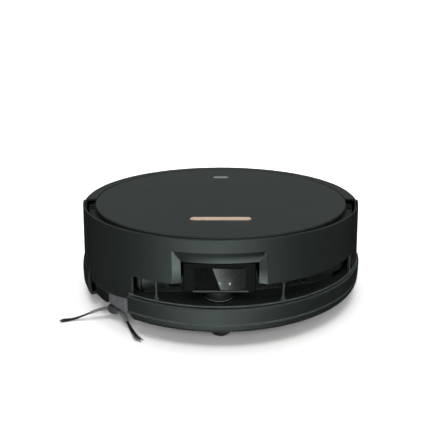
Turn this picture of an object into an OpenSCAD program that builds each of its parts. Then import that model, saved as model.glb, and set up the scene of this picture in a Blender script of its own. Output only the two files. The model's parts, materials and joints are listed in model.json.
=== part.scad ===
// Robot vacuum and mop, front towards -Y, origin on the floor under the middle of the disc.
// Angles called "heading" are counted from the front (-Y), positive towards +X.

/* [Body] */
// Radius over the lower flange
body_r = 170; // [169:0.5:172]
// Height of the top cover above the floor
body_h = 106; // [105:0.5:108]
// Radius of the lift-off top cover
cover_r = 150; // [149:0.2:150.4]
// Height of the base plate's underside
base_z = 15; // [15:0.5:16]

/* [Bumper] */
// Thickness of the bumper wall
wall_t = 2.2; // [1.8:0.1:2.4]
// Heading at which the bumper ends on each side
bumper_end = 80; // [76:1:80]
// Underside of the upper wall, which is the top of the viewing slot
slot_top = 61.5; // [60:0.5:64]
// Top of the shelf under the viewing slot
slot_low = 42.4; // [42.2:0.1:43]
// Heading at which the slot ends on the left of a front view
slot_left = -31.3; // [-34:0.1:-29]
// Heading at which the slot ends on the right of a front view
slot_right = 57.5; // [54:0.5:60]
// Distance the bumper moves back when it is hit
bumper_travel = 4; // [2:0.5:4]

/* [Rolling gear] */
// Radius of a drive tyre
tyre_r = 35; // [34:0.5:35]
// Distance of each drive wheel from the centre line
wheel_x = 112; // [111:0.5:113]
// Position of the wheel axle behind the middle
wheel_y = 10; // [8:1:11]
// Radius of the caster wheel
caster_r = 13; // [12:0.5:13]

/* [Cleaning gear] */
// Radius over the fins of the roller brush
brush_r = 19.2; // [18:0.1:19.5]
// Radius over the fabric of the mop roller
mop_r = 21; // [20:0.1:21]
// Length of a side brush arm with its bristles
side_brush_reach = 62; // [58:1:63]

/* [Hidden] */

$fn = 96;
cut = 1;
far = 400;

// Bumper and shell radii
rim_z = body_h + 1.2;
wall_top_r = body_r - 5;
wall_low_r = body_r - 2.8;
wall_knee_z = 46;
notch_frame_r = wall_top_r - 3.4;
scanner_hole_r = 15;
flange_z = 16;
crease_z = 23.7;
shell_heading = 82.5;
skirt_heading = -59.6;
wall_low_z = 29;

// Chassis
base_r = 161;
base_t = 3;
base_top = base_z + base_t;
front_r = 158.3;
cover_y = -4.4;
deck_z = 97.4;
deck_top = 100.7;
bay_floor = slot_low - 2.3;
bay_roof = 62.4;
lidar_x = -1.5;
lidar_y = -143.5;
lidar_bore_r = 3.05;
hub_heading = -45;
hub_radius = 157;

// Rolling gear
pivot_y = 54;
pivot_z = 38;
pivot_r = 3;
axle_r = 4;
running_gap = 0.05;
wheel_w = 20;
caster_y = -142;
caster_trail = 4;
caster_w = 20;
caster_pin_r = 1.5;

// Cleaning gear
brush_y = -34;
brush_z = 20;
brush_half = 73;
mop_y = 92;
mop_z = mop_r + 0.4;
mop_half = 92;
mop_pin_r = 3;

// Top parts
key_y = -99;
key_len = 64;
key_w = 9.6;
lens_y = 92;
bin_x = 60;
bin_front = -2;
bin_rear = 60;
bin_low = 50;
bin_top = 97;
lid_pin_y = 58.2;
lid_pin_z = 98.2;

function wall_r(z) = z < wall_knee_z ? wall_low_r
  : wall_top_r + (wall_low_r - wall_top_r) * (rim_z - z) / (rim_z - wall_knee_z);

// Revolved sector of a profile in radius and height, between two headings
module ring_sector(profile, from, to) {
  rotate([0, 0, from - 90])
    rotate_extrude(angle = to - from)
      polygon(profile);
}

// Box given by its low and high corners
module block(low, high) {
  translate(low)
    cube(high - low);
}

// Upright cylinder between two heights
module post(x, y, z_low, z_high, r) {
  translate([x, y, z_low])
    cylinder(h = z_high - z_low, r = r);
}

// Cylinder along X between two positions
module rod(x_low, x_high, y, z, r) {
  translate([x_low, y, z])
    rotate([0, 90, 0])
      cylinder(h = x_high - x_low, r = r);
}

// Flat bar with round ends along X
module capsule(len, width, z_low, z_high) {
  straight = len - width;
  translate([0, 0, z_low])
    linear_extrude(z_high - z_low)
      union() {
        square([straight, width], center = true);
        for (side = [-1, 1])
          translate([side * straight / 2, 0])
            circle(r = width / 2);
      }
}

// Children placed at a heading, with local +Y pointing outwards
module at_heading(heading) {
  rotate([0, 0, heading + 180])
    children();
}

// ---------------------------------------------------------------- bumper

// Wall section down to a given height, with a rounded rim crest
function wall_profile(z_low) = concat(
  z_low < wall_knee_z ? [[wall_low_r - wall_t, z_low], [wall_low_r, z_low], [wall_low_r, wall_knee_z]]
    : [[wall_r(z_low) - wall_t, z_low], [wall_r(z_low), z_low]],
  [
    [wall_top_r, rim_z - 0.9], [wall_top_r - 0.4, rim_z - 0.2], [wall_top_r - 1, rim_z],
    [wall_top_r - 1.5, rim_z - 0.1], [wall_top_r - wall_t, rim_z - 1]
  ],
  z_low < wall_knee_z ? [[wall_low_r - wall_t, wall_knee_z]] : []
);

// Lower flange, the groove above it and the shelf at the foot of the slot
flange_profile = [
  [front_r, slot_low - 1.7], [front_r, slot_low - 0.3], [body_r - 2.8, slot_low],
  [body_r - 2.3, slot_low - 0.2], [body_r - 2.1, slot_low - 0.7], [body_r - 3.4, slot_low - 1.3],
  [body_r - 3.4, slot_low - 2], [body_r - 1.2, slot_low - 2.4], [body_r - 0.4, slot_low - 3.2],
  [body_r, slot_low - 4.8], [body_r, crease_z + 0.7], [body_r - 0.7, crease_z],
  [body_r, crease_z - 0.7], [body_r - 0.3, flange_z + 2.6], [body_r - 1.2, flange_z],
  [body_r - 3.6, flange_z], [body_r - 3.4, slot_low - 6], [body_r - 6, slot_low - 1.7]
];

// Arch over the side brush, drawn on a plane that faces along its heading
arch_outline = [
  [-60, 0], [60, 0], [43.4, 13], [35.6, 23.9], [34.8, 34.2], [31.8, 34.9], [18.6, 33.5], [1, 31.7],
  [-12.9, 32], [-37.4, 31.7], [-60, 27]
];

// Thin foot-flared strut across the slot
module slot_strut(heading) {
  at_heading(heading) {
    block([-0.75, wall_top_r - 1.8, slot_low - 1], [0.75, wall_top_r + 1.1, slot_top + 1]);
    translate([0, wall_top_r + 1.3, slot_low - 1])
      rotate([90, 0, 0])
        linear_extrude(3.4)
          polygon([[-2.8, 0], [2.8, 0], [0.9, 4], [-0.9, 4]]);
  }
}

// Room for the sensor window, with bevelled sides and a sloping sill above it
module notch_cut() {
  low = slot_top - 1;
  intersection() {
    ring_sector([[150, low], [176, low], [176, 129], [wall_top_r - 3, 83], [150, 83]], -32, 32);
    translate([0, 0, 30])
      linear_extrude(90)
        polygon([
          [-91.2, -180], [91.2, -180], [91.2, -176.9], [36.3, -157.9], [36.3, -140], [-37.4, -140],
          [-37.4, -157.9], [-91.2, -172.3]
        ]);
  }
}

// Everything between two radii, below a height and between two headings
module lower_zone(z_high, from, to) {
  ring_sector([[150, 0], [180, 0], [180, z_high], [150, z_high]], from, to);
}

// Wall of the bumper, open from the foot of the slot down to the flange
module bumper_wall() {
  difference() {
    ring_sector(wall_profile(wall_low_z), -bumper_end, bumper_end);
    lower_zone(44, -bumper_end - 2, -57.8);
    lower_zone(slot_top, slot_left, slot_right);
    lower_zone(slot_low - 2.2, slot_right - 1, bumper_end + 2);
  }
}

// Shelf behind the flange, level with it and straight along the back
module slot_shelf() {
  intersection() {
    post(0, 0, slot_low - 1.6, slot_low - 0.32, front_r + 2);
    block([-78, -170, 0], [74, -147.8, 60]);
  }
}

// Hole around the scanner, lengthened by the travel of the bumper
module scanner_hole() {
  post(lidar_x, lidar_y, slot_low - 4, slot_top, scanner_hole_r);
  post(lidar_x, lidar_y - bumper_travel, slot_low - 4, slot_top, scanner_hole_r);
  block(
    [lidar_x - scanner_hole_r + 0.01, lidar_y - bumper_travel, slot_low - 4.1],
    [lidar_x + scanner_hole_r - 0.01, lidar_y, slot_top + 0.1]
  );
}

module bumper_shell() {
  color([0.2, 0.225, 0.225]) {
    difference() {
      union() {
        bumper_wall();
        ring_sector(
          [
            [notch_frame_r, slot_top - 1], [wall_top_r, slot_top - 1], [wall_top_r - 1, deck_z - 0.4],
            [notch_frame_r, deck_z - 0.4]
          ],
          -17.4, 17.4
        );
        ring_sector(flange_profile, -33, bumper_end - 0.2);
        slot_shelf();
      }
      ring_sector(
        [[150, slot_low], [175, slot_low], [175, slot_top], [150, slot_top]],
        slot_left, slot_right
      );
      notch_cut();
      scanner_hole();
      at_heading(hub_heading)
        translate([0, 60, 0])
          rotate([90, 0, 180])
            linear_extrude(140)
              polygon(arch_outline);
    }
    for (heading = [-21.9, 21.3])
      slot_strut(heading);
  }
}

// ---------------------------------------------------------------- rear shell

shoulder_profile = [
  [146, body_h], [160.5, body_h], [162.6, body_h - 0.5], [wall_top_r - 0.8, body_h - 1.8],
  [wall_top_r, body_h - 4], [wall_top_r, 42.4], [wall_top_r - 2.4, 42.4],
  [wall_top_r - 2.4, body_h - 5.2], [161, body_h - 2.6], [146, body_h - 2.6]
];

skirt_profile = [
  [160.4, 42.8], [166.5, 42.8], [body_r - 1, 38], [body_r, 31], [body_r, crease_z + 0.7],
  [body_r - 0.7, crease_z], [body_r, crease_z - 0.7], [body_r - 0.2, 19], [body_r - 1.8, 12.7],
  [body_r - 2.6, 12], [158.6, 12], [158.6, base_z - 0.3], [166, base_z - 0.3], [167, 20],
  [167, 36], [165.4, 40.4], [160.4, 40.4]
];

module rear_shell() {
  vent_step = 3;
  color([0.19, 0.21, 0.21])
    difference() {
      union() {
        ring_sector(shoulder_profile, shell_heading, 360 - shell_heading);
        ring_sector(skirt_profile, shell_heading, 360 + skirt_heading);
      }
      post(0, cover_y, body_h - 10, body_h + cut, cover_r + 0.5);
      for (i = [-5 : 5])
        at_heading(180 + i * vent_step)
          block([-2.2, 150, 62], [2.2, 180, 84]);
      ring_sector([[body_r - 2.4, 17], [180, 17], [180, 36], [body_r - 2.4, 36]], -79, -66);
    }
}

// ---------------------------------------------------------------- chassis

// Cliff sensor places as heading and radius
cliff_places = [[-24, 146], [24, 146], [66, 146], [-76, 150], [152, 147], [-152, 147]];
screw_places = [
  [-65, 150], [40, 152], [55, 136], [100, 152], [-100, 152], [128, 152], [-128, 152],
  [148, 152], [-148, 152], [180, 152]
];
contact_x = 44;
contact_y = -124;

module at_places(places) {
  for (place = places)
    at_heading(place[0])
      translate([0, place[1], 0])
        children();
}

module base_plate() {
  color([0.07, 0.08, 0.08])
    difference() {
      union() {
        post(0, 0, base_z, base_top, base_r);
        ring_sector(
          [[front_r, base_z + 1], [base_r - 0.4, base_z + 1], [base_r - 0.4, 36], [front_r, 36]],
          -30, 70
        );
        for (side = [-1, 1])
          at_heading(side * 81)
            intersection() {
              difference() {
                post(0, 0, base_z, bay_floor, 158.2);
                post(0, 0, 0, 50, 156);
              }
              block([-44, 100, 0], [44, 200, 50]);
            }
        ring_sector(
          [
            [150, base_z + 0.4], [163.6, base_z + 0.4], [164, base_z + 1.4], [164, 28.4],
            [150, 28.4]
          ],
          -57.6, -45
        );
      }
      post(0, caster_y, 0, far, 18.6);
      block([-13, -170, 0], [13, caster_y, 29]);
      block([-84, -57, 0], [84, -11, far]);
      for (side = [-1, 1])
        block([side * wheel_x - 15, -31, 0], [side * wheel_x + 15, 62, far]);
      block([-103, 67, 0], [103, 117, far]);
      at_heading(hub_heading)
        block([-24.3, 138.8, 0], [9.3, far, far]);
      at_places(cliff_places)
        block([-7, -4, 0], [7, 4, base_z + 1.6]);
      for (side = [-1, 1])
        block(
          [side * contact_x - 10, contact_y - 5, 0],
          [side * contact_x + 10, contact_y + 5, base_z + 1.2]
        );
      at_places(screw_places) {
        post(0, 0, 0, base_z + 1.8, 3.2);
        post(0, 0, 0, far, 1.6);
      }
    }
}

module deck_frame() {
  bay = [bin_x + 2, bin_front - 2, bin_rear + 2];
  color([0.08, 0.09, 0.09])
    difference() {
      union() {
        post(0, 0, deck_z, deck_z + 2, front_r);
        post(0, cover_y, deck_z + 1, deck_top, 149.5);
        ring_sector([[156, 44.9], [158.2, 44.9], [158.2, deck_z + 1], [156, deck_z + 1]], 59.5, 97);
        ring_sector([[156, 44.9], [158.2, 44.9], [158.2, deck_z + 1], [156, deck_z + 1]], -97, -33.6);
        for (heading = [-77, -74.4, 74.4, 77])
          at_heading(heading)
            block([-0.6, 152.4, deck_z + 1], [0.6, 157.8, deck_z + 3.8]);
        for (side = [-1, 1]) {
          post(side * 138, 20, base_top + 0.2, deck_z + 1, 4);
          post(side * 26, 146, base_top + 0.2, deck_z + 1, 4);
          post(side * 118, -62, base_top + 0.2, deck_z + 1, 4);
        }
      }
      block([-bay[0], bay[1], deck_z - cut], [bay[0], bay[2], deck_top + cut]);
      post(0, key_y, deck_z - cut, deck_top + cut, 4.2);
      for (side = [-1, 1])
        post(side * 100, -60, deck_z + 2, deck_top + cut, 6.2);
      for (side = [-1, 1])
        post(side * 100, 80, deck_z + 2, deck_top + cut, 6.2);
    }
}

// Recess behind the slot: floor, back wall and roof
bay_back = [[60, -124], [94, -113], [122, -96.4], [137, -84]];

module bay_space(grow) {
  linear_extrude(60)
    polygon(concat(
      [[-93 - grow, -147], [-79 - grow, -133 + grow], [-20, -131 + grow], [20, -131 + grow]],
      [for (p = bay_back) [p[0] - grow * 0.4, p[1] + grow]],
      [[190, -84], [190, -190], [-93 - grow, -190]]
    ));
  post(lidar_x, lidar_y, 0, 60, 18.6 + grow);
}

module sensor_bay() {
  wall = 2.2;
  color([0.12, 0.14, 0.14]) {
    difference() {
      intersection() {
        union() {
          post(0, 0, bay_floor - 2.2, bay_roof, front_r - 0.1);
          post(0, 0, bay_roof - cut, bay_roof + 2, 155.2);
        }
        translate([0, 0, 37])
          bay_space(wall);
        block([-200, -200, 0], [200, -82, 100]);
      }
      intersection() {
        translate([0, 0, bay_floor])
          bay_space(0);
        block([-200, -200, 0], [200, -60, bay_roof]);
      }
      post(lidar_x, lidar_y, 30, bay_floor + cut, 17.4);
      ring_sector([[153.8, bay_floor], [far, bay_floor], [far, 44.9], [153.8, 44.9]], -60, 80);
      block([-36.8, -200, bay_roof - cut], [35.8, -131.1, bay_roof + 10]);
      for (window = bay_window_places)
        at_bay_window(window)
          block([-window[2] / 2 - 0.2, -0.2, window[4] - 0.2], [window[2] / 2 + 0.2, 1, window[4] + 4.2]);
    }
    post(-80.4, -134.9, slot_low + 0.5, bay_roof + 1, 1);
  }
}

// Dark windows low on the bay's back wall: x, y, width, turn and height of the lower edge
bay_window_places = [
  [-48, -132, 14, -1.93, 44.8], [48, -126.1, 13, 9.93, 42.4], [78, -118.2, 6, 17.9, 42.2],
  [87, -115.3, 6, 17.9, 42.2]
];

module at_bay_window(window) {
  translate([window[0], window[1], 0])
    rotate([0, 0, window[3]])
      children();
}

module bay_windows() {
  color([0.02, 0.02, 0.02])
    for (window = bay_window_places)
      at_bay_window(window)
        block([-window[2] / 2, 0, window[4]], [window[2] / 2, 0.9, window[4] + 4]);
}

module sensor_housing() {
  color([0.17, 0.19, 0.19])
    difference() {
      union() {
        raised_outline(
          [
            [-36, -131.8], [-36, -152.6], [-34.6, -154.4], [32.6, -154.4], [33.8, -152.6],
            [33.8, -131.8]
          ],
          51, 75.4
        );
        raised_outline(
          [
            [-35.8, -132], [-35.8, -152.2], [-34.6, -153.8], [32.4, -153.8], [33.6, -152.2],
            [33.6, -132]
          ],
          74, 79.4
        );
        block([-26.6, -156, 50.8], [26.6, -153, 52.2]);
      }
      block([-25.1, -160, 52.6], [24.3, -152.6, 74.8]);
      block([-24, -153, 54], [23.2, -134, 73.6]);
      block([-34.4, -152.2, 75.9], [32.2, -120, 90]);
    }
}

// Outline on the floor plane raised to a block between two heights
module raised_outline(outline, z_low, z_high) {
  translate([0, 0, z_low])
    linear_extrude(z_high - z_low)
      polygon(outline);
}

module sensor_window() {
  color([0.03, 0.035, 0.035])
    raised_outline(
      [[-24.9, -152.7], [-24.9, -154.6], [-16, -155.1], [15.4, -155.1], [24.1, -154.6], [24.1, -152.7]],
      52.8, 74.6
    );
}

module camera_module() {
  color([0.1, 0.1, 0.12]) {
    block([-20, -138, 56], [20, -134.2, 72.6]);
    difference() {
      translate([8.7, -137.8, 59.4])
        rotate([90, 0, 0])
          cylinder(h = 13, r = 5);
      translate([8.7, -149, 59.4])
        rotate([90, 0, 0])
          cylinder(h = 5, r = 3.6);
    }
  }
}

module status_led() {
  color([0.6, 0.95, 0.8])
    translate([-0.9, -138.2, 57.3])
      rotate([90, 0, 0])
        cylinder(h = 12, r = 1.2);
}

module lidar_base() {
  color([0.3, 0.32, 0.32])
    intersection() {
      union() {
        post(lidar_x, lidar_y, 38.2, 40, 17);
        translate([lidar_x, lidar_y, 0])
          rotate_extrude()
            polygon([
              [0, 39], [14.6, 39], [14.6, 42.2], [14.4, 42.4], [14.1, 42.4], [13.9, 42.2], [13.9, 41.2],
              [0, 41.2]
            ]);
        post(lidar_x, lidar_y, 36.4, 39, 8);
        post(lidar_x, lidar_y, 41, 47, lidar_bore_r - running_gap);
      }
      post(0, 0, 30, 60, 159.8);
    }
}

module lidar_head() {
  color([0.09, 0.1, 0.1])
    difference() {
      translate([lidar_x, lidar_y, 0])
        rotate_extrude()
          polygon([
            [0, 42.8], [13.3, 42.8], [13.6, 43.1], [13.6, 44], [12.8, 44.6], [12.8, 48.2], [13.6, 48.8],
            [13.6, 49.8], [13, 50.4], [0, 50.4]
          ]);
      post(lidar_x, lidar_y, 40, 47.4, lidar_bore_r);
    }
}

module edge_sensor_window() {
  color([0.02, 0.02, 0.02])
    ring_sector(
      [
        [body_r - 2.2, 17.2], [body_r - 0.3, 17.2], [body_r - 0.1, 24], [body_r - 0.1, 30],
        [body_r - 0.7, 35.8], [body_r - 2.2, 35.8]
      ],
      -78.8, -66.2
    );
}

// ---------------------------------------------------------------- side brush

module side_brush_housing() {
  color([0.62, 0.66, 0.68])
    at_heading(hub_heading)
      difference() {
        raised_outline([[-24, 139], [-24, 159.4], [-22.4, 161], [-7.2, 161], [-7.2, 139]], base_z, 31);
        block([-30, 130, 28], [-20, 150, 32]);
      }
}

module side_brush_cap() {
  color([0.7, 0.73, 0.75])
    at_heading(hub_heading)
      difference() {
        raised_outline([[-6.8, 139], [-6.8, 161.2], [7.6, 161.2], [9, 159.8], [9, 139]], base_z, 30.4);
        post(0, hub_radius, 0, far, 3.1);
      }
}

module side_brush_motor() {
  color([0.55, 0.56, 0.58])
    at_heading(hub_heading)
      union() {
        post(-2, 144, 31.4, 58, 11);
        post(-2, 144, 58, 60, 4);
      }
}

module side_brush_hub() {
  color([0.35, 0.36, 0.37])
    at_heading(hub_heading)
      translate([0, hub_radius, 0])
        union() {
          rotate_extrude()
            polygon([[0, 6], [5, 6], [8.4, 7.6], [9, 9.4], [9, 12.4], [7, 14.4], [0, 14.4]]);
          post(0, 0, 14, 27, 3.05);
        }
}

// Drooping strip seen from the side: distance from the hub and height
module side_brush_strip(from, to, width_in, width_out, thick) {
  steps = 6;
  function droop(s) = 10 - 8.8 * pow(max(s - 8, 0) / (side_brush_reach - 8), 1.25);
  function place(i) = from + (to - from) * i / steps;
  rotate([90, 0, 0])
    intersection() {
      translate([0, 0, -20])
        linear_extrude(40)
          polygon(concat(
            [for (i = [0 : steps]) [place(i), droop(place(i)) + thick / 2]],
            [for (i = [steps : -1 : 0]) [place(i), max(droop(place(i)) - thick / 2, 0.5)]]
          ));
      rotate([-90, 0, 0])
        translate([0, 0, -30])
          linear_extrude(60)
            polygon([
              [from, -width_in / 2], [to, -width_out / 2], [to, width_out / 2], [from, width_in / 2]
            ]);
    }
}

arm_turns = [190.5, 303.6, 68];

module side_brush_arms() {
  color([0.42, 0.43, 0.44])
    at_heading(hub_heading)
      translate([0, hub_radius, 0])
        for (turn = arm_turns)
          rotate([0, 0, turn - hub_heading - 180])
            side_brush_strip(9.1, 28, 7, 4.6, 2);
}

module side_brush_bristles() {
  color([0.08, 0.08, 0.08])
    at_heading(hub_heading)
      translate([0, hub_radius, 0])
        for (turn = arm_turns)
          rotate([0, 0, turn - hub_heading - 180])
            side_brush_strip(28.1, side_brush_reach, 2.4, 8, 1.4);
}

// ---------------------------------------------------------------- roller brush

module brush_tunnel() {
  color([0.1, 0.11, 0.11])
    difference() {
      union() {
        intersection() {
          rod(-83.5, 83.5, brush_y, brush_z, 24.6);
          block([-84, brush_y - 30, base_top + 0.2], [84, brush_y + 30, 60]);
        }
        block([-83.5, brush_y - 22.8, base_z + 0.2], [83.5, brush_y + 22.8, brush_z]);
      }
      rod(-79, 79, brush_y, brush_z, 22.3);
      block([-79, brush_y - 20.9, 0], [79, brush_y + 20.9, brush_z]);
      block([-100, brush_y - 40, 0], [100, brush_y + 40, base_z + 0.2]);
      rod(-100, 100, brush_y, brush_z, 3.05);
      block([-20, brush_y + 4, 30], [20, brush_y + 12, 60]);
    }
}

module brush_guard() {
  color([0.09, 0.1, 0.1])
    difference() {
      raised_outline(
        [
          [-88, -58], [-80, -64], [80, -64], [92, -56], [92, -10], [86, -4], [-86, -4], [-92, -10],
          [-92, -50]
        ],
        base_z - 2.8, base_z - 0.2
      );
      block([-77, brush_y - 21, 0], [77, brush_y + 21, far]);
    }
}

module brush_motor() {
  color([0.5, 0.51, 0.53])
    union() {
      block([84, -60, 26], [93, -36, 66]);
      rod(58, 84.5, -58, 60, 10);
    }
}

module main_brush_core() {
  color([0.16, 0.17, 0.18])
    union() {
      rod(-brush_half - 2, brush_half + 2, brush_y, brush_z, 9);
      rod(-82, 82, brush_y, brush_z, 3);
    }
}

module main_brush_fins() {
  color([0.3, 0.32, 0.33])
    for (i = [0 : 5])
      translate([0, brush_y, brush_z])
        rotate([i * 60 + 10, 0, 0])
          block([-brush_half, -0.9, 9.05], [brush_half, 0.9, brush_r]);
}

// ---------------------------------------------------------------- mop roller

module mop_carrier() {
  color([0.13, 0.14, 0.15])
    difference() {
      block([-101, mop_y - 23.5, 12], [101, mop_y + 23.5, 45.6]);
      block([-97, mop_y - 21.7, 0], [97, mop_y + 21.7, 43.6]);
      rod(-110, 110, mop_y, mop_z, mop_pin_r + running_gap);
    }
}

module mop_scraper() {
  color([0.5, 0.52, 0.53])
    block([-94, mop_y - 21.4, 37.6], [94, mop_y - 15.4, 43.4]);
}

module mop_roller_core() {
  color([0.25, 0.26, 0.27])
    union() {
      rod(-mop_half - 2, mop_half + 2, mop_y, mop_z, 14);
      rod(-100.6, 100.6, mop_y, mop_z, mop_pin_r);
    }
}

module mop_sleeve() {
  color([0.35, 0.37, 0.4])
    difference() {
      rod(-mop_half, mop_half, mop_y, mop_z, mop_r);
      rod(-mop_half - cut, mop_half + cut, mop_y, mop_z, 14.05);
    }
}

// ---------------------------------------------------------------- wheels

module wheel_cage(side) {
  color([0.11, 0.12, 0.12])
    translate([side * wheel_x, 0, 0])
      union() {
        difference() {
          block([-17, -33, base_top + 0.2], [17, 64, 74]);
          block([-15, -31, 0], [15, 62, 72]);
        }
        rod(-16, 16, pivot_y, pivot_z, pivot_r);
      }
}

// Swing arm: plate beside the wheel, pivot barrel behind it, motor in the hub
module wheel_arm(side) {
  inner = -side;
  color([0.45, 0.46, 0.47])
    translate([side * wheel_x, 0, 0])
      scale([inner, 1, 1])
        difference() {
          union() {
            rod(10.6, 14.4, pivot_y, pivot_z, 7);
            rod(-14.4, 14.4, pivot_y, pivot_z, 6);
            rod(10.6, 14.4, wheel_y, tyre_r, 16);
            translate([10.6, 0, 0])
              rotate([90, 0, 90])
                linear_extrude(3.8)
                  polygon([
                    [wheel_y, tyre_r - 15], [pivot_y, pivot_z - 6.5], [pivot_y, pivot_z + 6.5],
                    [wheel_y, tyre_r + 15]
                  ]);
            rod(3, 11, wheel_y, tyre_r, 14);
            rod(-9, 4, wheel_y, tyre_r, axle_r);
          }
          rod(-20, 20, pivot_y, pivot_z, pivot_r + running_gap);
        }
}

module wheel_rim(side) {
  inner = -side;
  color([0.2, 0.21, 0.22])
    translate([side * wheel_x, 0, 0])
      scale([inner, 1, 1])
        difference() {
          rod(-wheel_w / 2 + 0.4, wheel_w / 2 - 0.4, wheel_y, tyre_r, tyre_r - 5);
          rod(1, 20, wheel_y, tyre_r, 25);
          rod(-20, 20, wheel_y, tyre_r, axle_r + running_gap);
          for (turn = [0 : 60 : 300])
            translate([-20, wheel_y, tyre_r])
              rotate([turn, 0, 0])
                translate([0, 16, 0])
                  rotate([0, 90, 0])
                    cylinder(h = 12.5, r = 5);
        }
}

module tyre(side) {
  lugs = 24;
  color([0.05, 0.05, 0.05])
    translate([side * wheel_x, 0, 0])
      difference() {
        rod(-wheel_w / 2, wheel_w / 2, wheel_y, tyre_r, tyre_r);
        rod(-20, 20, wheel_y, tyre_r, tyre_r - 4.95);
        for (i = [0 : lugs - 1])
          for (edge = [-1, 1])
            translate([0, wheel_y, tyre_r])
              rotate([(i + 0.5 + edge / 4) * 360 / lugs, 0, 0])
                block([edge > 0 ? 3 : -20, -1.5, tyre_r - 1.6], [edge > 0 ? 20 : -3, 1.5, tyre_r + 1]);
      }
}

module left_wheel_cage() { wheel_cage(-1); }
module right_wheel_cage() { wheel_cage(1); }
module left_wheel_arm() { wheel_arm(-1); }
module right_wheel_arm() { wheel_arm(1); }
module left_wheel_rim() { wheel_rim(-1); }
module right_wheel_rim() { wheel_rim(1); }
module left_tyre() { tyre(-1); }
module right_tyre() { tyre(1); }

// ---------------------------------------------------------------- caster

module caster_socket() {
  color([0.09, 0.1, 0.1])
    intersection() {
      difference() {
        post(0, caster_y, base_top + 0.2, 36, 20.8);
        post(0, caster_y, 0, 31.6, 18.6);
        post(0, caster_y, 0, far, axle_r + running_gap);
        block([-13, -170, 0], [13, caster_y, 29]);
      }
      post(0, 0, 0, 60, front_r - 0.2);
    }
}

module caster_fork() {
  color([0.07, 0.08, 0.08])
    difference() {
      union() {
        post(0, caster_y, 27.4, 31, 15.4);
        post(0, caster_y, 31, 35.8, axle_r);
        for (side = [-1, 1])
          block([side * 11.5 - 1.2, caster_y - 9.6, caster_r - 3.4], [side * 11.5 + 1.2, caster_y + 2, 28]);
      }
      rod(-20, 20, caster_y - caster_trail, caster_r, caster_pin_r + 0.02);
    }
}

module caster_axle() {
  color([0.6, 0.6, 0.62])
    rod(-12.6, 12.6, caster_y - caster_trail, caster_r, caster_pin_r);
}

module caster_wheel() {
  half = caster_w / 2;
  crown = 0.04;
  color([0.06, 0.06, 0.06])
    translate([0, caster_y - caster_trail, caster_r])
      rotate([0, 90, 0])
        rotate_extrude()
          polygon(concat(
            [[caster_pin_r + 0.06, half], [caster_pin_r + 0.06, -half]],
            [for (x = [-half : 2 : half]) [caster_r - crown * x * x, x]]
          ));
}

// ---------------------------------------------------------------- inside parts

module battery_pack() {
  color([0.15, 0.25, 0.4])
    block([-78, -117.6, 20], [56, -70, 58]);
}

module main_board() {
  color([0.08, 0.35, 0.2]) {
    block([-80, -116, 76], [80, -66, 77.6]);
    for (x = [-50, -10, 30])
      block([x, -104, 77.6], [x + 18, -84, 80]);
  }
}

module fan_housing() {
  color([0.75, 0.75, 0.75])
    difference() {
      post(0, mop_y, 60, 92, 26);
      post(0, mop_y, 63, 89, 23.4);
      post(0, mop_y, 50, 64, 10);
      post(0, mop_y, 80, 100, 3.05);
      block([-8, mop_y + 20, 66], [8, mop_y + 40, 86]);
    }
}

module fan_impeller() {
  color([0.85, 0.85, 0.87])
    union() {
      post(0, mop_y, 66, 69, 21.6);
      post(0, mop_y, 66, 91.6, 3);
      for (turn = [0 : 45 : 315])
        translate([0, mop_y, 0])
          rotate([0, 0, turn])
            block([5, -0.7, 68], [20.6, 0.7, 84]);
    }
}

module tank(side) {
  intersection() {
    post(0, 0, 60, 95.6, 157);
    block([side > 0 ? 34 : -160, 68, 50], [side > 0 ? 160 : -34, 160, 100]);
  }
}

module clean_water_tank() {
  color([0.6, 0.75, 0.85])
    tank(1);
}

module dirty_water_tank() {
  color([0.45, 0.47, 0.45])
    tank(-1);
}

module exhaust_grille() {
  color([0.1, 0.11, 0.11])
    difference() {
      ring_sector([[159.4, 59], [162, 59], [162, 87], [159.4, 87]], 161, 199);
      for (i = [-4.5 : 4.5])
        at_heading(180 + i * 3.4)
          block([-1.6, 150, 61], [1.6, 170, 85]);
    }
}

module charge_contacts() {
  color([0.8, 0.7, 0.5])
    for (side = [-1, 1])
      block(
        [side * contact_x - 9.8, contact_y - 4.8, base_z - 0.4],
        [side * contact_x + 9.8, contact_y + 4.8, base_z + 1]
      );
}

module cliff_sensors() {
  color([0.02, 0.02, 0.02])
    at_places(cliff_places)
      block([-6.8, -3.8, base_z + 0.1], [6.8, 3.8, base_z + 1.4]);
}

module base_screws() {
  color([0.6, 0.6, 0.62])
    at_places(screw_places)
      difference() {
        union() {
          post(0, 0, base_z + 0.2, base_z + 1.6, 3);
          post(0, 0, base_z + 1.4, 26, 1.5);
        }
        block([-1.7, -0.35, 0], [1.7, 0.35, base_z + 0.9]);
        block([-0.35, -1.7, 0], [0.35, 1.7, base_z + 0.9]);
      }
}

module key_switch() {
  color([0.7, 0.7, 0.7])
    union() {
      post(0, key_y, 92, deck_top - 0.3, 4);
      block([-6, key_y - 6, 88], [6, key_y + 6, 93]);
    }
}

module bumper_buffers() {
  color([0.05, 0.05, 0.05])
    for (heading = [20, 50])
      at_heading(heading)
        block([-4, front_r + 2.8, 24], [4, 162, 33]);
}

// ---------------------------------------------------------------- cover and key

module top_cover() {
  under = body_h - 2.6;
  color([0.21, 0.23, 0.23])
    difference() {
      translate([0, cover_y, 0])
        rotate_extrude()
          polygon([
            [0, under], [cover_r - 3.6, under], [cover_r - 2.4, deck_top + 0.5],
            [cover_r - 0.8, deck_top + 0.5], [cover_r, deck_top + 1.4], [cover_r, body_h - 1.5],
            [cover_r - 0.5, body_h - 0.6], [cover_r - 1.6, body_h - 0.1], [cover_r - 3, body_h],
            [0, body_h]
          ]);
      translate([0, key_y, 0])
        capsule(key_len + 0.5, key_w + 0.5, under - cut, body_h + cut);
      translate([0, lens_y, 0])
        capsule(22.2, 12.2, under - cut, body_h + cut);
    }
}

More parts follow.
